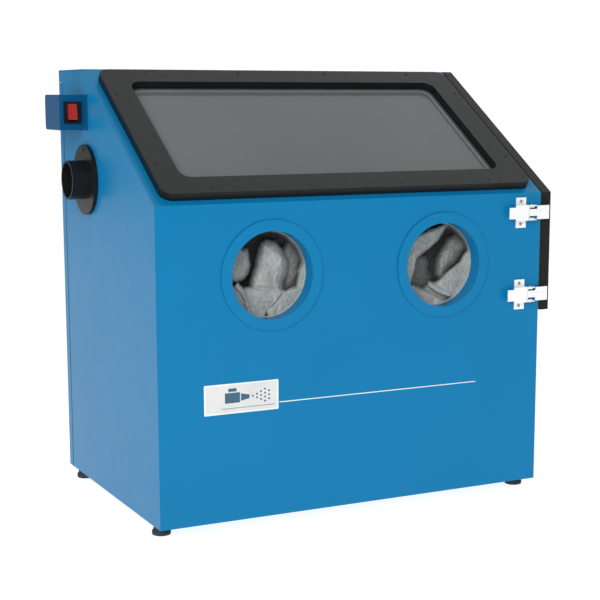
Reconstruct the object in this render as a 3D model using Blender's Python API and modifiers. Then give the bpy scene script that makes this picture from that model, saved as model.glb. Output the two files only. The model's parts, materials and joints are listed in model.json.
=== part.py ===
"""Bench-top sandblast cabinet: sheet-steel cabin, sloping window, glove ports, side door and latches.

Metres, +Z up. Every piece is modelled in the cabin's own coordinates: X from the left wall to the right,
Y from the front wall to the back, Z up from the cabin's underside. One parent empty, cabinet_frame, then
moves the whole cabinet so that the origin is the bottom centre of its bounding box.
"""
import math

import bmesh
import bpy
from mathutils import Matrix, Vector

# Cabin
WIDTH = 0.600
DEPTH = 0.400
HEIGHT = 0.608
KNEE_Z = 0.431
TOP_FRONT_Y = 0.281
SHEET = 0.0015
GAP = 0.0003
LAP = SHEET + GAP
SLOPE_ANGLE = math.atan2(HEIGHT - KNEE_Z, TOP_FRONT_Y)
REAR_FLANGE = 0.017
REAR_TOP_Z = 0.590
FLANGE_HEIGHT = 0.020

# Feet
FOOT_RADIUS = 0.011
FOOT_HEIGHT = 0.015
FOOT_INSET_X = 0.014
FOOT_INSET_Y = 0.034

# Window, measured on the slope: x across, v up from the knee, w out from the sheet
FRAME_LOW = Vector((0.013, 0.0095))
FRAME_HIGH = Vector((0.587, 0.313))
FRAME_THICK = 0.0117
FRAME_CORNER = 0.016
SIGHT_LOW = Vector((0.051, 0.0455))
SIGHT_HIGH = Vector((0.549, 0.280))
SIGHT_CORNER = 0.016
GLASS_LOW = Vector((0.038, 0.033))
GLASS_HIGH = Vector((0.562, 0.293))
GLASS_THICK = 0.004
GLASS_CORNER = 0.008
GASKET_THICK = 0.0017
CLAMP_OVERLAP = 0.009
RETAINER_THICK = 0.0015

# Glove ports
PORT_Z = 0.333
PORT_X = (0.166, 0.434)
PORT_RADIUS = 0.060
PORT_WALL = 0.002
PORT_FLANGE_RADIUS = 0.075
PORT_FLANGE_THICK = 0.002
PORT_COLLAR_DEPTH = 0.020
CUFF_RADIUS = 0.0655
CUFF_WALL = 0.0020
CLAMP_CLEARANCE = 0.0008
GLOVE_MOUTH_Y = 0.0075

# Dust outlet on the left wall
DUST_Y = 0.2745
DUST_Z = 0.451
DUST_FLANGE_RADIUS = 0.0505
DUST_FLANGE_THICK = 0.0055
DUST_RADIUS = 0.028
DUST_BORE = 0.025
DUST_LENGTH = 0.0302

# Lamp switch on its bracket
BRACKET_OUT = 0.035
BRACKET_FRONT_Y = 0.286
BRACKET_REAR_Y = 0.357
BRACKET_Z = (0.5215, 0.572)
BRACKET_FOOT = 0.022
SWITCH_CENTRE = Vector((-0.0165, BRACKET_FRONT_Y, 0.5465))
SWITCH_BEZEL = (0.0255, 0.031)
SWITCH_BODY = (0.0215, 0.0275)
SWITCH_TILT = math.radians(8)

# Side door, outlined in Y and Z on the right wall
DOOR_THICK = 0.018
DOOR_LOW_Z = 0.257
DOOR_REAR_Y = 0.352
DOOR_RIM = 0.022
DOOR_SEAL_THICK = 0.0025
DOOR_OPENING_INSET = 0.026

# Door hinges
HINGE_X = WIDTH + 0.006
HINGE_Y = DOOR_REAR_Y + 0.0063
HINGE_Z = {"lower": 0.330, "upper": 0.530}
HINGE_HEIGHT = 0.060
HINGE_KNUCKLE = 0.004
HINGE_BORE = 0.0022
HINGE_PIN = 0.0019
LEAF_THICK = 0.0015

# Toggle latches: X and Y of the lever's pivot and of the claw's pin
LATCH_Z = {"lower": 0.2825, "upper": 0.4025}
LEVER_PIVOT = Vector((0.5805, -0.006))
CLAW_PIN = Vector((0.5760, -0.006))

# Work grate and hopper
GRATE_LOW_Z = 0.2401
GRATE_THICK = 0.006
GRATE_HOLES = (9, 6)
GRATE_BAR = 0.005
GRATE_EDGE = 0.0042
HOPPER_TOP_Z = 0.232
HOPPER_LOW_Z = 0.008
HOPPER_MOUTH = (0.592, 0.392)
HOPPER_BOTTOM = (0.120, 0.090)

# Blast gun, lying on the grate, and its hoses
GUN_Y = 0.345
GUN_Z = 0.264
GUN_MEDIA_X = 0.385
TRIGGER_PIVOT = Vector((0.411, 0.322, GUN_Z))
INLET = Vector((0.553, DEPTH, 0.270))
INLET_REACH = 0.028
INLET_BORE = 0.0025
AIR_HOSE_RADIUS = 0.005
MEDIA_HOSE_RADIUS = 0.007
PICKUP_RADIUS = 0.006
PICKUP_TOP_Z = 0.268

# The bounding box that the origin is taken from
BOX_X = (-BRACKET_OUT, WIDTH + DOOR_THICK)
BOX_Y = (-0.010, DEPTH + INLET_REACH)
ORIGIN = Vector((-(BOX_X[0] + BOX_X[1]) / 2, -(BOX_Y[0] + BOX_Y[1]) / 2, FOOT_HEIGHT))

# How a flat outline is turned: drawn in X and Y, it comes to lie on a side wall, the front or the slope
ON_SIDE = (math.pi / 2, 0.0, math.pi / 2)
ON_FRONT = (math.pi / 2, 0.0, 0.0)
ON_SLOPE = (SLOPE_ANGLE, 0.0, 0.0)

# Blue, black and metal finishes: colour, roughness, metallic, alpha
FINISHES = {
    "blue_paint": ((0.03, 0.22, 0.48), 0.45, 0.0, 1.0),
    "black_paint": ((0.03, 0.03, 0.03), 0.50, 0.0, 1.0),
    "black_plastic": ((0.02, 0.02, 0.02), 0.45, 0.0, 1.0),
    "rubber": ((0.02, 0.02, 0.02), 0.80, 0.0, 1.0),
    "zinc": ((0.75, 0.76, 0.78), 0.25, 1.0, 1.0),
    "steel": ((0.45, 0.46, 0.48), 0.40, 1.0, 1.0),
    "glass": ((0.30, 0.32, 0.33), 0.05, 0.0, 0.35),
    "glove_fabric": ((0.45, 0.46, 0.46), 0.85, 0.0, 1.0),
    "red_plastic": ((0.45, 0.02, 0.02), 0.30, 0.0, 1.0),
    "white_plastic": ((0.80, 0.80, 0.78), 0.40, 0.0, 1.0),
    "brass": ((0.60, 0.42, 0.15), 0.35, 1.0, 1.0),
    "ceramic": ((0.75, 0.73, 0.68), 0.50, 0.0, 1.0),
    "hose": ((0.25, 0.25, 0.26), 0.50, 0.0, 1.0),
}


# ---- scene, materials and basic solids -------------------------------------------------------------------

def clear_scene():
    """Remove whatever the scene holds, so that only this cabinet is left."""
    for item in list(bpy.context.scene.objects):
        bpy.data.objects.remove(item, do_unlink=True)


def make_collection(name):
    """Add a collection to the scene."""
    collection = bpy.data.collections.new(name)
    bpy.context.scene.collection.children.link(collection)
    return collection


def finish_of(name):
    """Return the named finish as a material, made once."""
    existing = bpy.data.materials.get(name)
    if existing:
        return existing
    colour, roughness, metallic, alpha = FINISHES[name]
    material = bpy.data.materials.new(name)
    material.use_nodes = True
    shader = material.node_tree.nodes["Principled BSDF"]
    shader.inputs["Base Color"].default_value = (*colour, 1.0)
    shader.inputs["Roughness"].default_value = roughness
    shader.inputs["Metallic"].default_value = metallic
    shader.inputs["Alpha"].default_value = alpha
    return material


def place(name, data, finish=None, location=(0, 0, 0), rotation=(0, 0, 0), parent=None):
    """Put data in the scene: a part if it has a finish, otherwise a tool that cuts or adds to parts."""
    item = bpy.data.objects.new(name, data)
    item.location = location
    item.rotation_euler = rotation
    item.parent = parent or CABINET
    if finish:
        item.data.materials.append(finish_of(finish))
        PARTS.objects.link(item)
    else:
        item.hide_render = True
        item.display_type = "WIRE"
        TOOLS.objects.link(item)
    return item


def box(name, low, high, finish=None, **where):
    """A box between two corners."""
    low, high = Vector(low), Vector(high)
    mesh = bpy.data.meshes.new(name)
    shape = bmesh.new()
    size = Matrix.Diagonal((*(high - low), 1.0))
    bmesh.ops.create_cube(shape, size=1.0, matrix=Matrix.Translation((low + high) / 2) @ size)
    shape.to_mesh(mesh)
    shape.free()
    return place(name, mesh, finish, **where)


def rod(name, start, end, radius, finish=None, sides=16, end_radius=None, **where):
    """A cylinder or cone between two points."""
    start, end = Vector(start), Vector(end)
    mesh = bpy.data.meshes.new(name)
    shape = bmesh.new()
    turn = (end - start).to_track_quat("Z", "Y").to_matrix().to_4x4()
    bmesh.ops.create_cone(shape, cap_ends=True, segments=sides, radius1=radius,
                          radius2=radius if end_radius is None else end_radius,
                          depth=(end - start).length, matrix=Matrix.Translation((start + end) / 2) @ turn)
    shape.to_mesh(mesh)
    shape.free()
    mesh.shade_smooth()
    mesh.set_sharp_from_angle(angle=math.radians(40))
    return place(name, mesh, finish, **where)


def turned(name, profile, finish=None, steps=40, closed=True, **where):
    """A solid turned about the object's own Z from a profile of (radius, height) points, top to bottom."""
    mesh = bpy.data.meshes.new(name)
    shape = bmesh.new()
    points = [shape.verts.new((radius, 0.0, height)) for radius, height in profile]
    for first, second in zip(points, points[1:]):
        shape.edges.new((first, second))
    if closed:
        shape.edges.new((points[-1], points[0]))
    shape.to_mesh(mesh)
    shape.free()
    item = place(name, mesh, finish, **where)
    screw = item.modifiers.new("turn", "SCREW")
    screw.steps = steps
    screw.render_steps = steps
    screw.use_merge_vertices = True
    screw.merge_threshold = 0.00001
    screw.use_smooth_shade = True
    return item


def poly_curve(name, splines, **settings):
    """A curve of poly splines, each a list of (x, y, z, radius) points and a flag for a closed loop."""
    curve = bpy.data.curves.new(name, "CURVE")
    for setting, value in settings.items():
        setattr(curve, setting, value)
    for points, cyclic in splines:
        spline = curve.splines.new("POLY")
        spline.points.add(len(points) - 1)
        for point, (x, y, z, radius) in zip(spline.points, points):
            point.co = (x, y, z, 1.0)
            point.radius = radius
        spline.use_cyclic_u = cyclic
    return curve


def mesh_of(curve):
    """The curve as a mesh, with its caps welded on."""
    holder = bpy.data.objects.new("curve_holder", curve)
    TOOLS.objects.link(holder)
    evaluated = holder.evaluated_get(bpy.context.evaluated_depsgraph_get())
    mesh = bpy.data.meshes.new_from_object(evaluated)
    bpy.data.objects.remove(holder, do_unlink=True)
    bpy.data.curves.remove(curve)
    shape = bmesh.new()
    shape.from_mesh(mesh)
    bmesh.ops.remove_doubles(shape, verts=shape.verts, dist=0.00002)
    shape.to_mesh(mesh)
    shape.free()
    return mesh


def plate(name, outlines, thickness, finish=None, **where):
    """A flat plate: outlines of (x, y) points, the outer one and any holes, from z = 0 to the thickness."""
    splines = [([(x, y, 0.0, 1.0) for x, y in outline], True) for outline in outlines]
    mesh = mesh_of(poly_curve(name, splines, dimensions="2D", fill_mode="BOTH", extrude=thickness / 2))
    mesh.transform(Matrix.Translation((0.0, 0.0, thickness / 2)))
    return place(name, mesh, finish, **where)


def folded_sheet(name, profile, length, finish, thickness=SHEET, offset=-1.0, **where):
    """A bent sheet: an open profile of (x, y) points, drawn out along the object's Z and thickened."""
    mesh = bpy.data.meshes.new(name)
    shape = bmesh.new()
    points = [shape.verts.new((x, y, 0.0)) for x, y in profile]
    edges = [shape.edges.new(pair) for pair in zip(points, points[1:])]
    drawn = bmesh.ops.extrude_edge_only(shape, edges=edges)
    moved = [item for item in drawn["geom"] if isinstance(item, bmesh.types.BMVert)]
    bmesh.ops.translate(shape, verts=moved, vec=(0.0, 0.0, length))
    shape.to_mesh(mesh)
    shape.free()
    item = place(name, mesh, finish, **where)
    thicken(item, thickness, offset)
    return item


def thicken(item, thickness, offset=-1.0):
    """Give an open surface a thickness."""
    solidify = item.modifiers.new("sheet", "SOLIDIFY")
    solidify.thickness = thickness
    solidify.offset = offset
    solidify.use_even_offset = True


def soften(item, width, segments=2, angle=50):
    """Round the sharp edges."""
    bevel = item.modifiers.new("soften", "BEVEL")
    bevel.width = width
    bevel.segments = segments
    bevel.limit_method = "ANGLE"
    bevel.angle_limit = math.radians(angle)


def combine(item, operation, tools):
    """Cut tools out of a part, or join them to it."""
    for tool in tools:
        modifier = item.modifiers.new(operation.lower(), "BOOLEAN")
        modifier.operation = operation
        modifier.object = tool


def cut(item, *tools):
    """Take each tool out of the part."""
    combine(item, "DIFFERENCE", tools)


def join(item, *tools):
    """Make each tool one solid with the part."""
    combine(item, "UNION", tools)


# ---- outlines --------------------------------------------------------------------------------------------

def arc(centre, radius, start, end, steps):
    """Points along an arc, angles in degrees."""
    angles = [math.radians(start + (end - start) * step / steps) for step in range(steps + 1)]
    return [(centre[0] + radius * math.cos(a), centre[1] + radius * math.sin(a)) for a in angles]


def rounded(low, high, radius, steps=5):
    """A rectangle with round corners, anticlockwise."""
    corners = [(high[0] - radius, low[1] + radius, -90), (high[0] - radius, high[1] - radius, 0),
               (low[0] + radius, high[1] - radius, 90), (low[0] + radius, low[1] + radius, 180)]
    points = []
    for x, y, start in corners:
        points += arc((x, y), radius, start, start + 90, steps)
    return points


def inset(outline, distance):
    """Move every side of an anticlockwise outline inwards, by one distance or by one for each side."""
    count = len(outline)
    distances = distance if isinstance(distance, (list, tuple)) else [distance] * count
    points = [Vector(point) for point in outline]
    sides = []
    for index in range(count):
        along = (points[(index + 1) % count] - points[index]).normalized()
        inward = Vector((-along.y, along.x))
        sides.append((points[index] + inward * distances[index], along))
    result = []
    for index in range(count):
        (p, u), (q, v) = sides[index - 1], sides[index]
        reach = ((q - p).cross(v)) / u.cross(v)
        result.append(tuple(p + u * reach))
    return result


def cabin_outline():
    """The cabin seen from the side, in Y and Z, anticlockwise from the front bottom corner."""
    return [(0.0, 0.0), (DEPTH, 0.0), (DEPTH, HEIGHT), (TOP_FRONT_Y, HEIGHT), (0.0, KNEE_Z)]


def door_outline():
    """The door seen from the side: it follows the front, the slope and the top of the cabin."""
    return [(0.0, DOOR_LOW_Z), (DOOR_REAR_Y, DOOR_LOW_Z), (DOOR_REAR_Y, HEIGHT),
            (TOP_FRONT_Y, HEIGHT), (0.0, KNEE_Z)]


def route(points, spacing):
    """Points along a smooth curve through the given ones, about one spacing apart."""
    points = [Vector(point) for point in points]
    padded = [2 * points[0] - points[1]] + points + [2 * points[-1] - points[-2]]
    result = [points[0]]
    for index in range(1, len(padded) - 2):
        before, start, end, after = padded[index - 1:index + 3]
        steps = max(1, round((end - start).length / spacing))
        for step in range(1, steps + 1):
            t = step / steps
            result.append(0.5 * (2 * start + (end - before) * t
                                 + (2 * before - 5 * start + 4 * end - after) * t ** 2
                                 + (3 * start - before - 3 * end + after) * t ** 3))
    return result


# ---- cabin -----------------------------------------------------------------------------------------------

def front_panel():
    """Front wall, window slope and top as one folded sheet, with its holes."""
    outline = [(0.0, 0.0), (0.0, KNEE_Z), (TOP_FRONT_Y, HEIGHT), (DEPTH, HEIGHT), (DEPTH, REAR_TOP_Z + GAP)]
    panel = folded_sheet("front_panel", outline, WIDTH, "blue_paint", rotation=ON_SIDE)
    cutters = [rod(f"port_cutter_{index}", (x, -0.01, PORT_Z), (x, 0.02, PORT_Z),
                   PORT_RADIUS + PORT_WALL + GAP, sides=36) for index, x in enumerate(PORT_X)]
    opening = rounded(GLASS_LOW - Vector((GAP, GAP)), GLASS_HIGH + Vector((GAP, GAP)), GLASS_CORNER)
    cutters.append(plate("window_cutter", [opening], 0.02, location=on_slope(-0.01), rotation=ON_SLOPE))
    cut(panel, *cutters)


def side_wall(name, x):
    """A side wall, lying behind the folded edges of the front panel and ahead of the rear cover."""
    front, bottom, slope, top, rear = LAP, 0.0, LAP, LAP, LAP
    outline = inset(cabin_outline(), [bottom, rear, top, slope, front])
    notch_y = DEPTH - REAR_FLANGE - GAP
    outline[1:2] = [(notch_y, 0.0), (notch_y, REAR_TOP_Z + GAP), (outline[1][0], REAR_TOP_Z + GAP)]
    return plate(name, [outline], SHEET, "blue_paint", location=(x, 0, 0), rotation=ON_SIDE)


def left_wall():
    """The left wall, with holes for the dust spigot, the power inlet and the lamp cable."""
    wall = side_wall("left_side_panel", 0.0)
    cut(wall,
        rod("dust_cutter", (-0.01, DUST_Y, DUST_Z), (0.01, DUST_Y, DUST_Z), DUST_RADIUS + GAP, sides=32),
        rod("inlet_cutter", (-0.01, 0.336, 0.536), (0.01, 0.336, 0.536), 0.0048, sides=16),
        rod("cable_cutter", (-0.01, 0.336, 0.560), (0.01, 0.336, 0.560), 0.0035, sides=16))


def right_wall():
    """The right wall, with the loading opening behind the door."""
    wall = side_wall("right_side_panel", WIDTH - SHEET)
    opening = inset(door_outline(), DOOR_OPENING_INSET)
    cut(wall, plate("opening_cutter", [opening], 0.02, location=(WIDTH - 0.01, 0, 0), rotation=ON_SIDE))


def rear_cover():
    """The back, a pan whose flanges wrap round on to the sides."""
    front_y = DEPTH - REAR_FLANGE + GAP
    outline = [(0.0, front_y), (0.0, DEPTH), (WIDTH, DEPTH), (WIDTH, front_y)]
    cover = folded_sheet("rear_cover", outline, REAR_TOP_Z, "blue_paint")
    cut(cover, rod("air_inlet_cutter", INLET - Vector((0, 0.02, 0)), INLET + Vector((0, 0.02, 0)),
                   0.0068, sides=20))


def open_box(name, low, high, finish, thickness):
    """A sheet tray: a box with no top."""
    low, high = Vector(low), Vector(high)
    mesh = bpy.data.meshes.new(name)
    shape = bmesh.new()
    size = Matrix.Diagonal((*(high - low), 1.0))
    bmesh.ops.create_cube(shape, size=1.0, matrix=Matrix.Translation((low + high) / 2) @ size)
    lid = max(shape.faces, key=lambda face: face.calc_center_median().z)
    bmesh.ops.delete(shape, geom=[lid], context="FACES_ONLY")
    shape.to_mesh(mesh)
    shape.free()
    item = place(name, mesh, finish)
    thicken(item, thickness)
    return item


def floor_and_feet():
    """The floor tray and the four feet under it."""
    open_box("floor_pan", (LAP, LAP, 0.0), (WIDTH - LAP, DEPTH - LAP, FLANGE_HEIGHT), "blue_paint", SHEET)
    profile = [(0.0, -GAP), (FOOT_RADIUS * 0.82, -GAP), (FOOT_RADIUS, -0.003), (FOOT_RADIUS, -0.012),
               (FOOT_RADIUS * 0.86, -FOOT_HEIGHT), (0.0, -FOOT_HEIGHT)]
    for side, x in (("left", FOOT_INSET_X), ("right", WIDTH - FOOT_INSET_X)):
        for end, y in (("front", FOOT_INSET_Y), ("rear", DEPTH - FOOT_INSET_Y)):
            turned(f"foot_{end}_{side}", profile, "rubber", steps=16, closed=False, location=(x, y, 0))


def hopper():
    """The funnel under the grate that collects the abrasive: four sloping walls and a floor."""
    centre = Vector((WIDTH / 2, DEPTH / 2, 0.0))
    sides = {"front": ((-1, -1), (1, -1)), "right": ((1, -1), (1, 1)),
             "rear": ((1, 1), (-1, 1)), "left": ((-1, 1), (-1, -1))}
    for side, signs in sides.items():
        edges = []
        for (wide, deep), z in ((HOPPER_BOTTOM, HOPPER_LOW_Z), (HOPPER_MOUTH, HOPPER_TOP_Z)):
            start, end = [centre + Vector((x * wide / 2, y * deep / 2, z)) for x, y in signs]
            margin = (end - start).normalized() * GAP
            edges.append((start + margin, end - margin))
        (low_start, low_end), (top_start, top_end) = edges
        mesh = bpy.data.meshes.new(f"hopper_{side}")
        mesh.from_pydata([low_start, low_end, top_end, top_start], [], [(0, 1, 2, 3)])
        thicken(place(f"hopper_{side}", mesh, "steel"), SHEET, offset=1.0)
    wide, deep = HOPPER_BOTTOM
    box("hopper_floor", centre + Vector((GAP - wide / 2, GAP - deep / 2, HOPPER_LOW_Z - LAP)),
        centre + Vector((wide / 2 - GAP, deep / 2 - GAP, HOPPER_LOW_Z - GAP)), "steel")


def grate_rails():
    """Angle rails on the front and rear walls that carry the grate."""
    ledge = GRATE_LOW_Z - GAP
    for name, wall, inward in (("front", LAP + GAP, 1), ("rear", DEPTH - LAP - GAP, -1)):
        upright = wall + inward * SHEET
        outline = [(wall + inward * 0.020, ledge), (upright, ledge), (upright, ledge + 0.018)]
        folded_sheet(f"grate_rail_{name}", outline, 0.590, "steel", offset=inward,
                     location=(0.005, 0, 0), rotation=ON_SIDE)


def grate_line(index, count, low, high):
    """Where the index-th line of the grate's grid lies: bars and holes take turns."""
    hole = (high - low - GRATE_BAR * (count + 1)) / count
    return low + (index // 2) * (hole + GRATE_BAR) + (index % 2) * GRATE_BAR


def grate_hole_centre(index, count, length):
    """The middle of the index-th hole of the grate, counted from 0."""
    edges = [grate_line(2 * index + step, count, GRATE_EDGE, length - GRATE_EDGE) for step in (1, 2)]
    return sum(edges) / 2


def work_grate():
    """The grate that the work rests on: a sheet of bars with square holes."""
    across, deep = GRATE_HOLES
    mesh = bpy.data.meshes.new("work_grate")
    shape = bmesh.new()
    bmesh.ops.create_grid(shape, x_segments=2 * across + 1, y_segments=2 * deep + 1, size=0.5)
    for vertex in shape.verts:
        column = round((vertex.co.x + 0.5) * (2 * across + 1))
        row = round((vertex.co.y + 0.5) * (2 * deep + 1))
        vertex.co.x = grate_line(column, across, GRATE_EDGE, WIDTH - GRATE_EDGE)
        vertex.co.y = grate_line(row, deep, GRATE_EDGE, DEPTH - GRATE_EDGE)
    holes = [face for face in shape.faces if face.calc_area() > 0.001]
    bmesh.ops.delete(shape, geom=holes, context="FACES_ONLY")
    shape.to_mesh(mesh)
    shape.free()
    item = place("work_grate", mesh, "steel", location=(0, 0, GRATE_LOW_Z + GRATE_THICK))
    thicken(item, GRATE_THICK)


# ---- window ----------------------------------------------------------------------------------------------

def on_slope(height):
    """The slope's own origin, at the left end of the knee, raised by a height above the sheet."""
    return (0.0, -height * math.sin(SLOPE_ANGLE), KNEE_Z + height * math.cos(SLOPE_ANGLE))


def window():
    """Frame, glass, gasket and the ring inside that holds the glass against the frame."""
    frame = plate("window_frame", [rounded(FRAME_LOW, FRAME_HIGH, FRAME_CORNER),
                                   rounded(SIGHT_LOW, SIGHT_HIGH, SIGHT_CORNER)],
                  FRAME_THICK, "black_plastic", location=on_slope(GAP), rotation=ON_SLOPE)
    soften(frame, 0.0012, segments=1)
    plate("window_glass", [rounded(GLASS_LOW, GLASS_HIGH, GLASS_CORNER)], GLASS_THICK, "glass",
          location=on_slope(-GLASS_THICK), rotation=ON_SLOPE)
    overlap = Vector((CLAMP_OVERLAP, CLAMP_OVERLAP))
    inner = rounded(SIGHT_LOW + overlap, SIGHT_HIGH - overlap, GLASS_CORNER)
    gasket_low = -GLASS_THICK - GAP - GASKET_THICK
    plate("glass_gasket", [rounded(GLASS_LOW, GLASS_HIGH, GLASS_CORNER), inner], GASKET_THICK, "rubber",
          location=on_slope(gasket_low), rotation=ON_SLOPE)
    retainer_low = gasket_low - GAP - RETAINER_THICK
    margin = Vector((0.006, 0.006))
    outer = rounded(FRAME_LOW + margin, FRAME_HIGH - margin, FRAME_CORNER)
    retainer = plate("glass_retainer", [outer, inner], -LAP - retainer_low, "steel",
                     location=on_slope(retainer_low), rotation=ON_SLOPE)
    pocket = rounded(GLASS_LOW - Vector((GAP, GAP)), GLASS_HIGH + Vector((GAP, GAP)), GLASS_CORNER)
    cut(retainer, plate("glass_pocket", [pocket], 0.02, rotation=ON_SLOPE,
                        location=on_slope(retainer_low + RETAINER_THICK)))


# ---- glove ports -----------------------------------------------------------------------------------------

def port_ring(name, x):
    """A port's flange on the front wall, with the collar that the glove is clamped to."""
    outer = PORT_RADIUS + PORT_WALL
    profile = [(PORT_FLANGE_RADIUS, PORT_FLANGE_THICK), (PORT_FLANGE_RADIUS, 0.0), (outer, 0.0),
               (outer, -GAP - PORT_COLLAR_DEPTH), (PORT_RADIUS, -GAP - PORT_COLLAR_DEPTH),
               (PORT_RADIUS, PORT_FLANGE_THICK)]
    turned(name, profile, "blue_paint", steps=36, location=(x, -GAP, PORT_Z), rotation=ON_FRONT)


def port_clamp(name, x):
    """The band that holds the glove's cuff on the collar."""
    inner = CUFF_RADIUS + CLAMP_CLEARANCE
    profile = [(inner + 0.0015, 0.0), (inner + 0.0015, -0.009), (inner, -0.009), (inner, 0.0)]
    turned(name, profile, "steel", steps=28, location=(x, 0.0095, PORT_Z), rotation=ON_FRONT)


def glove(name, x, lean):
    """A long glove: its cuff on the collar, its sleeve sagging to a loose hand just above the grate."""
    cuff = CUFF_RADIUS
    path = [(0.0, GLOVE_MOUTH_Y, PORT_Z, cuff), (0.0, 0.020, PORT_Z, cuff), (0.0, 0.034, PORT_Z, cuff),
            (0.1, 0.060, 0.329, 0.061), (0.3, 0.086, 0.319, 0.055), (0.6, 0.110, 0.305, 0.046),
            (0.8, 0.131, 0.293, 0.037), (0.95, 0.147, 0.285, 0.026), (1.0, 0.156, 0.281, 0.012)]
    points = [(x + lean * share, y, z, radius) for share, y, z, radius in path]
    curve = poly_curve(name, [(points, False)], dimensions="3D", bevel_depth=1.0, bevel_resolution=8,
                         use_fill_caps=True)
    mesh = mesh_of(curve)
    shape = bmesh.new()
    shape.from_mesh(mesh)
    mouth_limit = GLOVE_MOUTH_Y + GAP
    mouth = [face for face in shape.faces if all(corner.co.y < mouth_limit for corner in face.verts)]
    bmesh.ops.delete(shape, geom=mouth, context="FACES_ONLY")
    shape.to_mesh(mesh)
    shape.free()
    mesh.shade_smooth()
    item = place(name, mesh, "glove_fabric")
    thicken(item, CUFF_WALL)


def glove_ports():
    """Both ports, with their rings, clamps and gloves."""
    for side, x, lean in (("left", PORT_X[0], 0.014), ("right", PORT_X[1], -0.014)):
        port_ring(f"glove_port_ring_{side}", x)
        port_clamp(f"glove_clamp_{side}", x)
        glove(f"glove_{side}", x, lean)


# ---- dust outlet -----------------------------------------------------------------------------------------

def dust_outlet():
    """The spigot for the extractor hose, and the baffle inside that keeps abrasive out of it."""
    outward = (0.0, -math.pi / 2, 0.0)
    profile = [(DUST_RADIUS, DUST_LENGTH), (DUST_RADIUS, DUST_FLANGE_THICK + GAP),
               (DUST_FLANGE_RADIUS, DUST_FLANGE_THICK), (DUST_FLANGE_RADIUS, GAP), (DUST_RADIUS, GAP),
               (DUST_RADIUS, -0.006), (DUST_BORE, -0.006), (DUST_BORE, DUST_LENGTH)]
    turned("dust_spigot", profile, "black_plastic", steps=32, location=(0, DUST_Y, DUST_Z), rotation=outward)
    foot, reach, half = 0.014, 0.022, 0.042
    inner = LAP
    outline = [(inner, -half - foot), (inner, -half), (inner + reach, -half), (inner + reach, half),
               (inner, half), (inner, half + foot)]
    folded_sheet("dust_baffle", outline, 2 * half, "steel", offset=-1.0, location=(0, DUST_Y, DUST_Z - half))


# ---- lamp and switch -------------------------------------------------------------------------------------

def switch_bracket():
    """The bent bracket on the left wall, with its free corners rounded and a cut-out for the switch."""
    low, high = BRACKET_Z
    front_y = BRACKET_FRONT_Y + SHEET
    outer_x = SHEET - BRACKET_OUT
    outline = [(-GAP, front_y - BRACKET_FOOT), (-GAP, front_y), (outer_x, front_y), (outer_x, BRACKET_REAR_Y)]
    bracket = folded_sheet("switch_bracket", outline, high - low, "blue_paint", offset=1.0,
                           location=(0, 0, low))
    trim = rounded((BRACKET_FRONT_Y - 2 * BRACKET_FOOT, low), (BRACKET_REAR_Y, high), 0.006, steps=4)
    combine(bracket, "INTERSECT", [plate("bracket_trim", [trim], 2 * BRACKET_OUT,
                                         location=(-1.5 * BRACKET_OUT, 0, 0), rotation=ON_SIDE)])
    wide, tall = SWITCH_BODY
    half = Vector((wide / 2 + GAP, 0.01, tall / 2 + GAP))
    cut(bracket, box("switch_cutter", SWITCH_CENTRE - half, SWITCH_CENTRE + half))


def lamp_switch():
    """The switch's housing and its rocker, resting with its lower half pressed in."""
    x, y, z = SWITCH_CENTRE
    wide, tall = SWITCH_BEZEL
    housing = box("switch_housing", (x - wide / 2, y - 0.0023, z - tall / 2),
                  (x + wide / 2, y - GAP, z + tall / 2), "black_plastic")
    body_wide, body_tall = SWITCH_BODY
    body = box("switch_body_tool", (x - body_wide / 2, y - 0.001, z - body_tall / 2),
               (x + body_wide / 2, y + 0.022, z + body_tall / 2))
    well = box("switch_well", (x - 0.0071, y - 0.01, z - 0.0127), (x + 0.0071, y + 0.012, z + 0.0127))
    pivot = (y + 0.0045, z)
    hole = rod("switch_pivot_hole", (x - 0.02, *pivot), (x + 0.02, *pivot), 0.0016, sides=16)
    join(housing, body)
    cut(housing, well, hole)
    rocker = box("switch_rocker", (-0.0066, -0.0085, -0.0113), (0.0066, 0.004, 0.0113), "red_plastic",
                 location=(x, *pivot), rotation=(-SWITCH_TILT, 0, 0))
    stub = rod("rocker_pivot_tool", (x - 0.0102, *pivot), (x + 0.0102, *pivot), 0.0012, sides=16)
    join(rocker, stub)


def lamp():
    """The lamp under the top: a housing, the board of LEDs and a diffuser, with its inlet and cable."""
    left, right, front, rear, top = 0.150, 0.450, 0.300, 0.350, HEIGHT - LAP
    outline = [(front, top - 0.022), (front, top), (rear, top), (rear, top - 0.022)]
    folded_sheet("lamp_housing", outline, right - left, "white_plastic", offset=-1.0, location=(left, 0, 0),
                 rotation=ON_SIDE)
    box("lamp_led_board", (left + 0.010, front + 0.006, top - 0.0036), (right - 0.010, rear - 0.006,
                                                                       top - 0.0019), "white_plastic")
    box("lamp_diffuser", (left + 0.001, front + 0.0018, top - 0.021), (right - 0.001, rear - 0.0018,
                                                                      top - 0.018), "white_plastic")
    rod("power_inlet", (-0.0065, 0.336, 0.536), (-GAP, 0.336, 0.536), 0.0075, "black_plastic", sides=20)
    barrel = rod("inlet_barrel_tool", (-0.002, 0.336, 0.536), (0.012, 0.336, 0.536), 0.0045, sides=16)
    socket = rod("inlet_socket_tool", (-0.02, 0.336, 0.536), (0.006, 0.336, 0.536), 0.0028, sides=16)
    join(bpy.data.objects["power_inlet"], barrel)
    cut(bpy.data.objects["power_inlet"], socket)
    cable_route = [(-0.0175, 0.3085, 0.548), (-0.0170, 0.318, 0.549), (-0.011, 0.329, 0.5555),
                   (0.0, 0.336, 0.560), (0.012, 0.341, 0.567), (0.020, 0.341, 0.580), (0.030, 0.338, 0.592),
                   (0.050, 0.334, 0.598), (0.095, 0.331, 0.600), (0.1495, 0.331, 0.600)]
    hose("lamp_cable", cable_route, 0.0018, 0.012, "rubber")


# ---- door ------------------------------------------------------------------------------------------------

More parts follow.
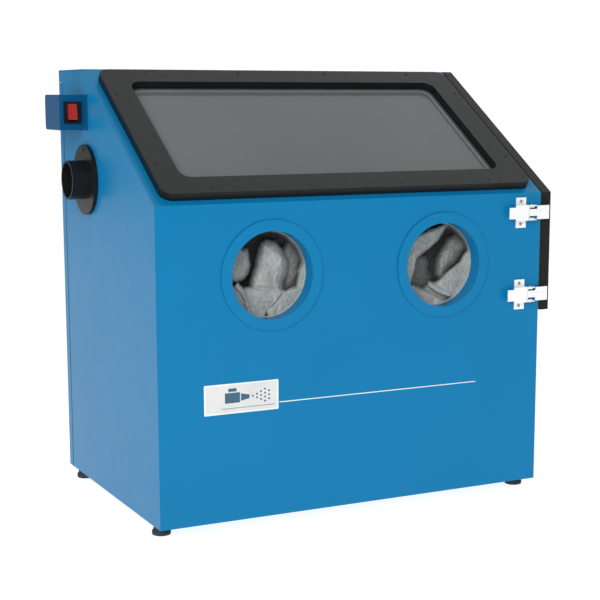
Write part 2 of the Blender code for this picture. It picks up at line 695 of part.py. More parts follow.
def door():
    """The side door: a pan with a return flange, on a foam seal. It turns on the empty door_axis."""
    axis = bpy.data.objects.new("door_axis", None)
    axis.location = (HINGE_X, HINGE_Y, 0.0)
    axis.parent = CABINET
    PARTS.objects.link(axis)
    outline = door_outline()
    inner_x = WIDTH + GAP + DOOR_SEAL_THICK + GAP
    back = (-HINGE_X, -HINGE_Y, 0.0)
    pan = plate("door", [outline], WIDTH + DOOR_THICK - inner_x, "black_paint", rotation=ON_SIDE, parent=axis,
                location=(inner_x - HINGE_X, -HINGE_Y, 0))
    cavity = plate("door_cavity", [inset(outline, SHEET)], DOOR_THICK - (inner_x - WIDTH) - 2 * SHEET,
                   rotation=ON_SIDE, location=(inner_x + SHEET, 0, 0))
    mouth = plate("door_mouth", [inset(outline, DOOR_RIM)], 0.006, rotation=ON_SIDE,
                  location=(inner_x - 0.003, 0, 0))
    cut(pan, cavity, mouth)
    plate("door_seal", [inset(outline, 0.0008), inset(outline, DOOR_RIM - 0.002)], DOOR_SEAL_THICK, "rubber",
          rotation=ON_SIDE, parent=axis, location=(WIDTH + GAP - HINGE_X, -HINGE_Y, 0))
    for place_name, z in HINGE_Z.items():
        hinge(place_name, z, axis, back)


def hinge(name, z, axis, back):
    """A butt hinge: a leaf on the wall with two knuckles, a leaf on the door with one, and the pin."""
    low, high = z - HINGE_HEIGHT / 2, z + HINGE_HEIGHT / 2
    third = HINGE_HEIGHT / 3
    wall_x = WIDTH + GAP
    fixed = box(f"hinge_{name}_wall_leaf", (wall_x, HINGE_Y + 0.0017, low),
                (wall_x + LEAF_THICK, DEPTH - REAR_FLANGE - 0.002, high), "zinc")
    for part, (start, end) in {"low": (low, low + third), "high": (high - third, high)}.items():
        join(fixed, box(f"hinge_{name}_{part}_web", (wall_x, HINGE_Y - 0.0015, start),
                        (HINGE_X, HINGE_Y + 0.002, end)),
             rod(f"hinge_{name}_{part}_knuckle", (HINGE_X, HINGE_Y, start), (HINGE_X, HINGE_Y, end),
                 HINGE_KNUCKLE))
    bore = rod(f"hinge_{name}_bore", (HINGE_X, HINGE_Y, low - 0.01), (HINGE_X, HINGE_Y, high + 0.01),
               HINGE_BORE)
    cut(fixed, bore)
    leaf_y = DOOR_REAR_Y + GAP
    moving = box(f"hinge_{name}_door_leaf", (WIDTH + 0.0035, leaf_y, low),
                 (WIDTH + DOOR_THICK - 0.001, leaf_y + LEAF_THICK, high), "zinc", parent=axis, location=back)
    middle = (low + third + GAP, high - third - GAP)
    join(moving, box(f"hinge_{name}_mid_web", (HINGE_X - 0.002, leaf_y, middle[0]),
                     (HINGE_X + 0.002, HINGE_Y, middle[1])),
         rod(f"hinge_{name}_mid_knuckle", (HINGE_X, HINGE_Y, middle[0]), (HINGE_X, HINGE_Y, middle[1]),
             HINGE_KNUCKLE))
    cut(moving, bore)
    rod(f"hinge_{name}_pin", (HINGE_X, HINGE_Y, low - 0.0015), (HINGE_X, HINGE_Y, high + 0.0015), HINGE_PIN,
        "steel")


# ---- latches ---------------------------------------------------------------------------------------------

def latch_axis(name, parent, point, z):
    """An empty on a vertical pivot of a latch, given in the parent's coordinates."""
    axis = bpy.data.objects.new(name, None)
    axis.location = (*point, z)
    axis.parent = parent
    PARTS.objects.link(axis)
    return axis


def latch_base(name, z):
    """The T-shaped plate on the front wall, with two ears that carry the lever's pivot."""
    base = box(f"latch_{name}_base", (0.5565, -LAP, z - 0.022), (0.5735, -GAP, z + 0.022), "zinc")
    web = box(f"latch_{name}_web", (0.570, -LAP, z - 0.011), (0.580, -GAP, z + 0.011))
    ears = [box(f"latch_{name}_ear_{index}", (0.574, -0.0098, z + low), (0.587, -0.001, z + low + 0.0015))
            for index, low in enumerate((-0.011, 0.0095))]
    join(base, web, *ears)
    hole = rod(f"latch_{name}_ear_hole", (*LEVER_PIVOT, z - 0.02), (*LEVER_PIVOT, z + 0.02), 0.0022, sides=12)
    cut(base, hole)


def latch_lever(name, axis):
    """The lever, drawn about its pivot: a plate with a grip tab, two cheeks and the stubs it turns on."""
    def at(x, y):
        return x - LEVER_PIVOT.x, y - LEVER_PIVOT.y
    lever = box(f"latch_{name}_lever", (*at(0.551, -0.010), -0.0113), (*at(0.5725, -0.0085), 0.0113), "zinc",
                parent=axis)
    tab = box(f"latch_{name}_tab", (*at(0.540, -0.010), -0.0083), (*at(0.552, -0.0085), 0.0083), parent=axis)
    cheeks = [box(f"latch_{name}_cheek_{index}", (*at(0.560, -0.0092), low),
                  (*at(0.5834, -0.0041), low + 0.0015), parent=axis)
              for index, low in enumerate((-0.0092, 0.0077))]
    stubs = [rod(f"latch_{name}_stub_{index}", (0, 0, low), (0, 0, low + 0.0036), 0.0018, sides=12,
                 parent=axis) for index, low in enumerate((-0.0116, 0.0080))]
    join(lever, tab, *cheeks, *stubs)
    offset = CLAW_PIN - LEVER_PIVOT
    cut(lever, rod(f"latch_{name}_claw_hole", (*offset, -0.02), (*offset, 0.02), 0.0017, sides=12,
                   parent=axis))


def latch_claw(name, axis):
    """The claw, drawn about its pin: a neck, a wide head with a rib, and the lip that hooks the keeper."""
    def at(x, y):
        return x - CLAW_PIN.x, y - CLAW_PIN.y
    claw = box(f"latch_{name}_claw", (*at(0.5745, -0.007), -0.005), (*at(0.5915, -0.005), 0.005), "zinc",
               parent=axis)
    head = box(f"latch_{name}_head", (*at(0.5905, -0.007), -0.010), (*at(0.611, -0.005), 0.010), parent=axis)
    rib = box(f"latch_{name}_rib", (*at(0.580, -0.0078), -0.002), (*at(0.609, -0.006), 0.002), parent=axis)
    lip = box(f"latch_{name}_lip", (*at(0.6094, -0.006), -0.010), (*at(0.611, -0.0023), 0.010), parent=axis)
    pin = rod(f"latch_{name}_claw_pin", (0, 0, -0.0090), (0, 0, 0.0090), 0.0013, sides=12, parent=axis)
    join(claw, head, rib, lip, pin)


def latch_keeper(name, z, door_axis):
    """The keeper on the door's front edge, with the lip that the claw pulls on."""
    back = (-HINGE_X, -HINGE_Y, 0.0)
    keeper = box(f"latch_{name}_keeper", (0.6015, -LAP, z - 0.009), (0.6125, -GAP, z + 0.009), "zinc",
                 parent=door_axis, location=back)
    join(keeper, box(f"latch_{name}_keeper_lip", (0.6072, -0.0046, z - 0.008), (0.6089, -0.001, z + 0.008)))


def latches():
    """Both toggle latches between the front wall and the door's edge."""
    for name, z in LATCH_Z.items():
        latch_base(name, z)
        lever_axis = latch_axis(f"lever_{name}_axis", CABINET, LEVER_PIVOT, z)
        latch_lever(name, lever_axis)
        claw_axis = latch_axis(f"claw_{name}_axis", lever_axis, CLAW_PIN - LEVER_PIVOT, 0.0)
        latch_claw(name, claw_axis)
        latch_keeper(name, z, bpy.data.objects["door_axis"])


# ---- blast gun and hoses ---------------------------------------------------------------------------------

def hose(name, points, radius, spacing, finish):
    """A round hose or cable along a smooth route."""
    splines = [([(*point, 1.0) for point in route(points, spacing)], False)]
    curve = poly_curve(name, splines, dimensions="3D", bevel_depth=radius, bevel_resolution=2,
                         use_fill_caps=True)
    return place(name, curve, finish)


def blast_gun():
    """The gun: a turned body with a grip, a hose stub and trigger ears, a nozzle and a trigger."""
    along = (0.0, math.pi / 2, 0.0)
    profile = [(0.0, 0.455), (0.010, 0.455), (0.015, 0.450), (0.015, 0.352), (0.011, 0.340), (0.011, 0.330),
               (0.0, 0.330)]
    body = turned("gun_body", profile, "steel", steps=20, closed=False, location=(0, GUN_Y, GUN_Z),
                  rotation=along)
    grip = box("gun_grip_tool", (0.427, 0.266, GUN_Z - 0.011), (0.453, GUN_Y, GUN_Z + 0.011))
    stub = rod("gun_stub_tool", (GUN_MEDIA_X, 0.3053, GUN_Z), (GUN_MEDIA_X, GUN_Y, GUN_Z), 0.0065, sides=16)
    ears = [box(f"gun_ear_{index}", (0.405, 0.317, GUN_Z + low), (0.417, GUN_Y, GUN_Z + low + 0.003))
            for index, low in enumerate((-0.0115, 0.0085))]
    join(body, grip, stub, *ears)
    x, y, z = TRIGGER_PIVOT
    cut(body, rod("gun_ear_hole", (x, y, z - 0.02), (x, y, z + 0.02), 0.0018, sides=16))
    nozzle = [(0.0, 0.3297), (0.008, 0.3297), (0.008, 0.310), (0.0055, 0.292), (0.003, 0.292),
              (0.003, 0.322), (0.0, 0.322)]
    turned("gun_nozzle", nozzle, "ceramic", steps=20, closed=False, location=(0, GUN_Y, GUN_Z),
           rotation=along)
    trigger = box("gun_trigger", (-0.003, -0.038, -0.008), (0.003, 0.0045, 0.008), "red_plastic",
                  location=TRIGGER_PIVOT)
    join(trigger, rod("trigger_pin_tool", (x, y, z - 0.011), (x, y, z + 0.011), 0.0015, sides=16))


def air_inlet():
    """The air fitting through the rear cover: a plug nipple outside and a hose barb inside."""
    x, y, z = INLET
    profile = [(0.0045, 0.0197), (0.0045, 0.007), (0.0065, 0.006), (0.0065, -GAP), (0.009, -GAP),
               (0.009, -0.012), (0.0055, -0.014), (0.0055, -INLET_REACH), (INLET_BORE, -INLET_REACH),
               (INLET_BORE, 0.0197)]
    turned("air_inlet_fitting", profile, "brass", steps=20, location=(x, y, z), rotation=ON_FRONT)


def hoses():
    """Air hose from the inlet to the grip, media hose from the pickup tube to the gun, all on the grate."""
    rest = GRATE_LOW_Z + GRATE_THICK
    low = rest + AIR_HOSE_RADIUS + 0.001
    air = [(INLET.x, 0.380, INLET.z), (INLET.x, 0.369, INLET.z), (0.553, 0.345, 0.2660),
           (0.553, 0.318, 0.2585), (0.551, 0.285, 0.2535), (0.546, 0.245, low), (0.531, 0.212, low),
           (0.505, 0.193, low),
           (0.476, 0.194, low), (0.453, 0.213, low), (0.442, 0.237, 0.2560), (0.440, 0.255, GUN_Z),
           (0.440, 0.2657, GUN_Z)]
    hose("air_hose", air, AIR_HOSE_RADIUS, 0.012, "hose")
    low = rest + MEDIA_HOSE_RADIUS + 0.001
    pass_x = grate_hole_centre(3, GRATE_HOLES[0], WIDTH)
    pass_y = grate_hole_centre(4, GRATE_HOLES[1], DEPTH)
    elbow_y = pass_y - 0.022
    media = [(pass_x, elbow_y - GAP, PICKUP_TOP_Z), (pass_x, elbow_y - 0.012, PICKUP_TOP_Z),
             (pass_x, 0.243, 0.2635), (pass_x + 0.006, 0.216, 0.2560), (pass_x + 0.026, 0.190, low),
             (pass_x + 0.061, 0.176, low), (0.333, 0.177, low), (0.362, 0.198, low), (0.380, 0.232, 0.2555),
             (GUN_MEDIA_X, 0.265, 0.2610), (GUN_MEDIA_X, 0.293, GUN_Z), (GUN_MEDIA_X, 0.305, GUN_Z)]
    hose("media_hose", media, MEDIA_HOSE_RADIUS, 0.015, "hose")
    pickup = [(0.300, 0.205, 0.026), (0.292, 0.222, 0.050), (0.270, 0.258, 0.108), (0.245, 0.286, 0.160),
              (pass_x, pass_y - 0.003, 0.200), (pass_x, pass_y, 0.225), (pass_x, pass_y, 0.246),
              (pass_x, pass_y - 0.003, 0.258), (pass_x, pass_y - 0.009, 0.2655),
              (pass_x, elbow_y + 0.004, PICKUP_TOP_Z), (pass_x, elbow_y, PICKUP_TOP_Z)]
    hose("pickup_tube", pickup, PICKUP_RADIUS, 0.010, "steel")


clear_scene()
PARTS = make_collection("sandblast_cabinet")
TOOLS = make_collection("cutting_tools")
CABINET = bpy.data.objects.new("cabinet_frame", None)
CABINET.location = ORIGIN
PARTS.objects.link(CABINET)

front_panel()
left_wall()
right_wall()
rear_cover()
floor_and_feet()
hopper()
grate_rails()
work_grate()
window()
glove_ports()
dust_outlet()
switch_bracket()
lamp_switch()
lamp()
door()
latches()
blast_gun()
air_inlet()
hoses()
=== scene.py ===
"""Sandblast cabinet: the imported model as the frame, dressed with its finishes, fasteners, hoses and gloves."""

import json
import math

import bmesh
import bpy
from mathutils import Matrix, Vector, noise


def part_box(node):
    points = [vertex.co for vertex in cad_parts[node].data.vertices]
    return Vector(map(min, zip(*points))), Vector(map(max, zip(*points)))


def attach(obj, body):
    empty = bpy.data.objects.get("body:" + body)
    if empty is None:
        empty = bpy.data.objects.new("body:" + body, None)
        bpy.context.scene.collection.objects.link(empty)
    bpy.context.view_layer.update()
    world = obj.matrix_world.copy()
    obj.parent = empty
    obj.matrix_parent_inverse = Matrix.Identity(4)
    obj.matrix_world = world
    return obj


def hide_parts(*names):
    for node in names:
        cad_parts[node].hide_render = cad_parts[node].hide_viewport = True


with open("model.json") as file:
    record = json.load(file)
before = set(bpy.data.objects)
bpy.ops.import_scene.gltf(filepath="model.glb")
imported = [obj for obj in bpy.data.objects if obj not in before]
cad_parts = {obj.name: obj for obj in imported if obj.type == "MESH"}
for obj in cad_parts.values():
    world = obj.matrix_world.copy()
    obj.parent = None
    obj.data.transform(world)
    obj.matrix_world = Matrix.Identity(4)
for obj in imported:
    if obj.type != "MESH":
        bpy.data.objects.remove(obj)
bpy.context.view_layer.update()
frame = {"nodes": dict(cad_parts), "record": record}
NODES = frame["nodes"]

# Cabin coordinates, in metres: X from the left wall, Y from the front wall, Z from the cabin's underside
CABIN = Vector(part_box("front_panel")[0])
WIDTH = 0.600
DEPTH = 0.400
HEIGHT = 0.608
KNEE_Z = 0.431
SLOPE_ANGLE = math.atan2(HEIGHT - KNEE_Z, 0.281)
SLOPE_OUT = Vector((0.0, -math.sin(SLOPE_ANGLE), math.cos(SLOPE_ANGLE)))
SLOPE_UP = Vector((0.0, math.cos(SLOPE_ANGLE), math.sin(SLOPE_ANGLE)))
LATCH_Z = {"lower": 0.2825, "upper": 0.4025}
HINGE_Z = {"lower": 0.330, "upper": 0.530}


def at(x, y, z):
    """A point of the cabin, in the frame that all pieces share."""
    return CABIN + Vector((x, y, z))


def on_slope(x, up, out):
    """A point over the window's slope: across, up from the knee, and out from the sheet."""
    return at(x, 0.0, KNEE_Z) + SLOPE_UP * up + SLOPE_OUT * out


# ---- camera and light ------------------------------------------------------------------------------------

def camera():
    """A long lens from the front left, a little above the cabinet."""
    data = bpy.data.cameras.new("camera")
    data.lens = 86.2
    data.sensor_width = 36.0
    data.shift_x = -0.035
    data.shift_y = 0.061
    item = bpy.data.objects.new("camera", data)
    item.location = (-0.9335, -1.945, 0.587)
    item.rotation_euler = (math.radians(80.44), 0.0, math.radians(-26.91))
    bpy.context.collection.objects.link(item)
    bpy.context.scene.camera = item


def softbox(name, place, target, size, power):
    """A square area light, turned to its target."""
    data = bpy.data.lights.new(name, "AREA")
    data.size = size
    data.energy = power
    item = bpy.data.objects.new(name, data)
    item.location = place
    item.rotation_euler = (Vector(target) - Vector(place)).to_track_quat("-Z", "Y").to_euler()
    bpy.context.collection.objects.link(item)


def lighting():
    """An even white studio: a key from the front left, an overhead box and a dim surround."""
    softbox("key_light", (-2.8, -3.2, 2.3), (0.0, 0.0, 0.3), 2.8, 146.0)
    softbox("overhead_light", (1.1, 0.6, 2.6), (0.0, 0.0, 0.3), 2.4, 14.0)
    world = bpy.data.worlds.new("studio")
    bpy.context.scene.world = world
    world.use_nodes = True
    tree = world.node_tree
    surround = tree.nodes["Background"]
    surround.inputs["Strength"].default_value = 0.30
    paper = tree.nodes.new("ShaderNodeBackground")
    paper.inputs["Strength"].default_value = 1.05
    chooser = tree.nodes.new("ShaderNodeMixShader")
    ray = tree.nodes.new("ShaderNodeLightPath")
    tree.links.new(ray.outputs["Is Camera Ray"], chooser.inputs[0])
    tree.links.new(surround.outputs[0], chooser.inputs[1])
    tree.links.new(paper.outputs[0], chooser.inputs[2])
    tree.links.new(chooser.outputs[0], tree.nodes["World Output"].inputs["Surface"])
    for item in (surround, paper):
        item.inputs["Color"].default_value = (1.0, 1.0, 1.0, 1.0)
    bpy.context.scene.view_settings.view_transform = "Standard"


# ---- materials -------------------------------------------------------------------------------------------

def node(tree, kind, settings=None, **inputs):
    """A shader node with its settings, and values or links for its inputs."""
    item = tree.nodes.new("ShaderNode" + kind)
    for key, value in (settings or {}).items():
        setattr(item, key, value)
    for key, value in inputs.items():
        socket = item.inputs[key.replace("_", " ")]
        if isinstance(value, bpy.types.NodeSocket):
            tree.links.new(value, socket)
        else:
            socket.default_value = value
    return item


def finish(name, colour, roughness, metallic=0.0, **constants):
    """A Principled material, returned with its tree, its shader and a texture coordinate in metres."""
    material = bpy.data.materials.new(name)
    material.use_nodes = True
    tree = material.node_tree
    shader = tree.nodes["Principled BSDF"]
    shader.inputs["Base Color"].default_value = (*colour, 1.0)
    shader.inputs["Roughness"].default_value = roughness
    shader.inputs["Metallic"].default_value = metallic
    for key, value in constants.items():
        shader.inputs[key.replace("_", " ")].default_value = value
    return material, tree, shader, node(tree, "TexCoord").outputs["Object"]


def grain(tree, place, scale, detail=2.0, roughness=0.5):
    """Cloudy noise, at scale features in a metre."""
    return node(tree, "TexNoise", Vector=place, Scale=scale, Detail=detail, Roughness=roughness).outputs["Fac"]


def ramp(tree, value, low, high, start=0.35, end=0.65):
    """The value turned into a colour, or a grey, between two others."""
    item = node(tree, "ValToRGB", Fac=value)
    for element, position, shade in zip(item.color_ramp.elements, (start, end), (low, high)):
        element.position = position
        element.color = (*shade, 1.0) if isinstance(shade, tuple) else (shade, shade, shade, 1.0)
    return item.outputs["Color"]


def relief(tree, shader, height, depth, strength=1.0, under=None):
    """Bumps on a shader, depth metres high, on top of any others under them."""
    item = node(tree, "Bump", Height=height, Distance=depth, Strength=strength)
    if under is not None:
        tree.links.new(under, item.inputs["Normal"])
    tree.links.new(item.outputs["Normal"], shader.inputs["Normal"])
    return item.outputs["Normal"]


def colour_link(tree, shader, colour):
    """A colour pattern on a shader."""
    tree.links.new(colour, shader.inputs["Base Color"])


def rough_link(tree, shader, value, low, high):
    """A roughness pattern on a shader."""
    tree.links.new(ramp(tree, value, low, high), shader.inputs["Roughness"])


def shade(colour, factor):
    """A colour made lighter or darker."""
    return tuple(channel * factor for channel in colour)


def powder_coat(name, colour, roughness=0.30):
    """Powder-coated sheet: an even colour, a fine orange peel and a slight drift in tone and gloss."""
    material, tree, shader, place = finish(name, colour, roughness, Specular_IOR_Level=0.15)
    drift = grain(tree, place, 5.0, detail=3.0)
    colour_link(tree, shader, ramp(tree, drift, shade(colour, 0.985), shade(colour, 1.015)))
    rough_link(tree, shader, grain(tree, place, 40.0), roughness - 0.02, roughness + 0.02)
    peel = relief(tree, shader, grain(tree, place, 420.0, detail=1.0), 0.00035, strength=0.22)
    relief(tree, shader, grain(tree, place, 1600.0, detail=1.0), 0.00010, strength=0.15, under=peel)
    return material


def moulded(name, colour, roughness, bump=0.35, cell=1500.0, **constants):
    """Moulded plastic with a fine spark-eroded grain and faint flow marks."""
    material, tree, shader, place = finish(name, colour, roughness, **constants)
    colour_link(tree, shader, ramp(tree, grain(tree, place, 22.0), shade(colour, 0.95), shade(colour, 1.05)))
    rough_link(tree, shader, grain(tree, place, 70.0), roughness - 0.02, roughness + 0.03)
    relief(tree, shader, grain(tree, place, cell, detail=2.0), 0.00012, strength=bump)
    return material


def metal(name, colour, roughness, grain_scale=(60.0, 60.0, 900.0), spots=0.15, metallic=1.0):
    """Plated or rolled metal: fine drawn lines, and cloudy patches in its gloss."""
    material, tree, shader, place = finish(name, colour, roughness, metallic=metallic)
    drawn = node(tree, "Mapping", Vector=place, Scale=grain_scale).outputs["Vector"]
    lines = grain(tree, drawn, 1.0, detail=3.0)
    clouds = grain(tree, place, 110.0, detail=4.0)
    colour_link(tree, shader, ramp(tree, clouds, shade(colour, 1.0 - spots), shade(colour, 1.0)))
    rough_link(tree, shader, clouds, max(0.05, roughness - 0.07), roughness + 0.09)
    relief(tree, shader, lines, 0.00002, strength=0.05)
    return material


def rubbery(name, colour, roughness):
    """Rubber: matt, with a fine pebble and a dusty bloom."""
    material, tree, shader, place = finish(name, colour, roughness)
    colour_link(tree, shader, ramp(tree, grain(tree, place, 90.0, detail=5.0), colour, shade(colour, 1.6)))
    relief(tree, shader, grain(tree, place, 1100.0), 0.00015, strength=0.4)
    return material


def window_pane(name):
    """Safety glass with a grey tint and a faint dusty haze, over the dark chamber."""
    colour = (0.141, 0.149, 0.153)
    material, tree, shader, place = finish(name, colour, 0.10, IOR=1.5, Alpha=0.86, Specular_IOR_Level=0.25)
    haze = grain(tree, place, 3.0, detail=4.0)
    colour_link(tree, shader, ramp(tree, haze, shade(colour, 0.93), shade(colour, 1.07)))
    return material


def coated_cotton(name, painted_shade_left=1.0):
    """Glove cloth: coated cotton with a plain weave and a soft sheen, and, if asked, painted shade that darkens it
    deeper in the sleeve.
    """
    colour = (0.385, 0.40, 0.385)
    material, tree, shader, place = finish(name, colour, 0.82, Sheen_Weight=0.15, Sheen_Roughness=0.5)
    soil = grain(tree, place, 28.0, detail=5.0, roughness=0.6)
    stain = ramp(tree, soil, shade(colour, 0.74), shade(colour, 1.10), start=0.30, end=0.60)
    speck = ramp(tree, grain(tree, place, 420.0), shade(colour, 0.9), shade(colour, 1.08))
    mixed = node(tree, "MixRGB", {"blend_type": "SOFT_LIGHT"}, Fac=0.35, Color1=stain, Color2=speck)
    # Painted shade: the colour is multiplied down with depth behind the collar, standing in for the shadow deep in
    # the sleeve
    depth = node(tree, "SeparateXYZ", Vector=place).outputs["Y"]
    near, far = (at(0.0, COLLAR_END + inwards, 0.0).y for inwards in PAINTED_SHADE_DEPTH)
    painted_shade_factor = node(tree, "MapRange", {"interpolation_type": "SMOOTHSTEP"}, Value=depth, From_Min=near, From_Max=far,
                 To_Min=1.0, To_Max=painted_shade_left).outputs["Result"]
    painted_shade_colour = node(tree, "MixRGB", {"blend_type": "MULTIPLY"}, Fac=1.0, Color1=mixed.outputs["Color"], Color2=painted_shade_factor)
    colour_link(tree, shader, painted_shade_colour.outputs["Color"])
    waves = []
    for direction in ("X", "Z"):
        wave = node(tree, "TexWave", {"bands_direction": direction}, Vector=place, Scale=420.0, Distortion=0.6)
        waves.append(wave.outputs["Fac"])
    weave = node(tree, "Math", {"operation": "MULTIPLY"})
    for socket, wave in zip(weave.inputs, waves):
        tree.links.new(wave, socket)
    cloth = relief(tree, shader, weave.outputs[0], 0.00012, strength=0.35)
    relief(tree, shader, grain(tree, place, 130.0, detail=3.0), 0.0006, strength=0.20, under=cloth)
    return material


def ceramic(name):
    """Fired ceramic: matt, slightly mottled."""
    colour = (0.72, 0.70, 0.65)
    material, tree, shader, place = finish(name, colour, 0.55)
    colour_link(tree, shader, ramp(tree, grain(tree, place, 160.0, detail=5.0), shade(colour, 0.88), colour))
    relief(tree, shader, grain(tree, place, 900.0), 0.00010, strength=0.3)
    return material


def studio_floor(name):
    """White paper floor, lit from below so that it stays pale in the cabinet's shadow."""
    colour = (0.35, 0.35, 0.35)
    material, tree, shader, place = finish(name, colour, 0.9, Emission_Strength=0.88)
    shader.inputs["Emission Color"].default_value = (1.0, 1.0, 1.0, 1.0)
    colour_link(tree, shader, ramp(tree, grain(tree, place, 4.0), shade(colour, 0.985), colour))
    return material


COLLAR_END = 0.0224
# Where the painted shade on the glove cloth begins and where it is full, behind the collar, and the share of colour
# it leaves
PAINTED_SHADE_DEPTH = (0.008, 0.040)
PAINTED_SHADE_LEFT = 0.12
BLUE = (0.002, 0.190, 0.415)
MATERIALS = {
    "blue_sheet": powder_coat("blue_sheet", BLUE),
    "black_sheet": powder_coat("black_sheet", (0.0125, 0.0125, 0.0132), roughness=0.36),
    "black_plastic": moulded("black_plastic", (0.008, 0.009, 0.010), 0.34, Specular_IOR_Level=0.20),
    "clear_glass": window_pane("clear_glass"),
    "black_rubber": rubbery("black_rubber", (0.018, 0.018, 0.019), 0.72),
    "bright_zinc": metal("bright_zinc", (0.97, 0.98, 0.98), 0.28, spots=0.02, metallic=0.22),
    "bare_steel": metal("bare_steel", (0.46, 0.47, 0.48), 0.38),
    "gun_metal": metal("gun_metal", (0.55, 0.56, 0.57), 0.45, grain_scale=(300.0, 300.0, 300.0)),
    "glove_fabric": coated_cotton("glove_fabric"),
    "red_plastic": moulded("red_plastic", (0.42, 0.018, 0.012), 0.22, bump=0.05),
    "white_plastic": moulded("white_plastic", (0.80, 0.80, 0.78), 0.38, bump=0.2),
    "brass_fitting": metal("brass_fitting", (0.62, 0.43, 0.16), 0.30),
    "nozzle_ceramic": ceramic("nozzle_ceramic"),
    "hose_rubber": rubbery("hose_rubber", (0.055, 0.055, 0.058), 0.5),
}
# Glove cloth with painted shade deep in the sleeve, for the cloth that shows in the ports
PAINTED_SHADE_COTTON = coated_cotton("painted_shade_cotton", painted_shade_left=PAINTED_SHADE_LEFT)
# A darkened copy of the cabinet's blue: painted shadow for the gaps of the rear seams
SEAM_SHADOW_PAINT = rubbery("painted_seam_shadow", (0.004, 0.040, 0.105), 0.6)
FROSTED = moulded("frosted_border", (0.215, 0.225, 0.220), 0.5, bump=0.1, Alpha=0.75)
# Painted shade: the switch bracket gets a darker copy of the cabinet's blue powder coat, standing in for the shade
# on its front face
PAINTED_SHADE_FINISH = {"switch_bracket": powder_coat("bracket_blue_painted_shade", (0.002, 0.080, 0.200)),
              # Painted shade: the dust baffle is painted near black, so that the light falling on it through the
              # spigot reads as shade
              "dust_baffle": metal("painted_shade_steel", (0.06, 0.06, 0.062), 0.6)}


# ---- shapes ----------------------------------------------------------------------------------------------

def add(name, mesh, slot, body, material=None):
    """A mesh as a new piece: its finish, its material slot and the body it rides on."""
    item = bpy.data.objects.new(name, mesh)
    bpy.context.collection.objects.link(item)
    item.data.materials.clear()
    item.data.materials.append(material or MATERIALS[slot])
    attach(item, body)
    return item


def grid_mesh(name, rows, closed=True):
    """A mesh from rows of points, each row joined to the next, and closed on itself if asked."""
    count = len(rows[0])
    faces = []
    for row in range(len(rows) - 1):
        for column in range(count if closed else count - 1):
            right = (column + 1) % count
            faces.append((row * count + column, row * count + right,
                          (row + 1) * count + right, (row + 1) * count + column))
    mesh = bpy.data.meshes.new(name)
    mesh.from_pydata([tuple(point) for row in rows for point in row], [], faces)
    mesh.shade_smooth()
    return mesh


def lathe(profile, columns=32):
    """Points and faces of a turned shape about Z: (radius, height) pairs, or triples with an outline."""
    points = []
    for radius, height, *outline in profile:
        for column in range(columns):
            angle = 2 * math.pi * column / columns
            reach = radius * outline[0](angle) if outline else radius
            points.append(Vector((reach * math.cos(angle), reach * math.sin(angle), height)))
    faces = [(row * columns + column, row * columns + (column + 1) % columns,
              (row + 1) * columns + (column + 1) % columns, (row + 1) * columns + column)
             for row in range(len(profile) - 1) for column in range(columns)]
    return points, faces


def slab(outline, thickness):
    """Points and faces of a flat shape: an outline in X and Y, from Z 0 to its thickness."""
    count = len(outline)
    points = [Vector((x, y, z)) for z in (0.0, thickness) for x, y in outline]
    sides = [(index, (index + 1) % count, count + (index + 1) % count, count + index) for index in range(count)]
    return points, [tuple(reversed(range(count))), tuple(range(count, 2 * count))] + sides


def assemble(name, shapes, sharp=40.0):
    """One mesh from several shapes, each with its own place."""
    points, faces = [], []
    for (corners, polygons), place in shapes:
        faces += [tuple(index + len(points) for index in polygon) for polygon in polygons]
        points += [place @ corner for corner in corners]
    mesh = bpy.data.meshes.new(name)
    mesh.from_pydata(points, [], faces)
    mesh.shade_smooth()
    mesh.set_sharp_from_angle(angle=math.radians(sharp))
    return mesh


def facing(place, direction, spin=0.0):
    """The placing that turns a shape's Z towards a direction, after spinning it about Z by some degrees."""
    turn = Vector(direction).to_track_quat("Z", "Y").to_matrix().to_4x4()
    return Matrix.Translation(place) @ turn @ Matrix.Rotation(math.radians(spin), 4, "Z")


def rounded_box(low, high, radius, steps=5):
    """The outline of a rectangle with round corners."""
    (x0, y0), (x1, y1) = low, high
    outline = []
    for x, y, start in ((x1 - radius, y0 + radius, -90), (x1 - radius, y1 - radius, 0),
                        (x0 + radius, y1 - radius, 90), (x0 + radius, y0 + radius, 180)):
        for step in range(steps + 1):
            angle = math.radians(start + 90 * step / steps)
            outline.append((x + radius * math.cos(angle), y + radius * math.sin(angle)))
    return outline


# ---- fasteners -------------------------------------------------------------------------------------------

def cross(angle):
    """The outline of a cross recess."""
    arm = abs((math.degrees(angle) + 45) % 90 - 45)
    return 1.0 if arm < 12 else 0.36


def hexagon(angle):
    """The outline of a hexagon socket."""
    return math.cos(math.pi / 6) / math.cos(angle % (math.pi / 3) - math.pi / 6)


def screw_head(radius, height, drive):
    """A domed screw head with a recess, or a plain rivet."""
    dome = [(1.0, 0.0), (1.0, 0.35), (0.94, 0.64), (0.80, 0.87), (0.62, 1.0)]
    profile = [(radius * wide, height * high) for wide, high in dome]
    if drive is None:
        profile += [(radius * 0.3, height * 1.08), (radius * 0.01, height * 1.1)]
    else:
        profile += [(radius * 0.52, height, drive), (radius * 0.46, height * 0.35, drive),
                    (radius * 0.01, height * 0.3)]
    return lathe(profile)


def fasteners(name, places, direction, radius, height, drive, slot, body):
    """A set of screws or rivets, each turned a little differently, as they come off the driver."""
    head = screw_head(radius, height, drive)
    shapes = [(head, facing(place, direction, spin=37.0 * index)) for index, place in enumerate(places)]
    return add(name, assemble(name, shapes), slot, body)


def window_screws():
    """Twelve socket screws round the window frame."""
    top = 0.0119
    across = [(x, up) for up in (0.304, 0.021) for x in (0.084, 0.228, 0.372, 0.516)]
    sides = [(x, up) for x in (0.0235, 0.5765) for up in (0.248, 0.077)]
    places = [on_slope(x, up, top) for x, up in across + sides]
    fasteners("window_screws", places, SLOPE_OUT, 0.0024, 0.0010, hexagon, "black_rubber", "cabinet")


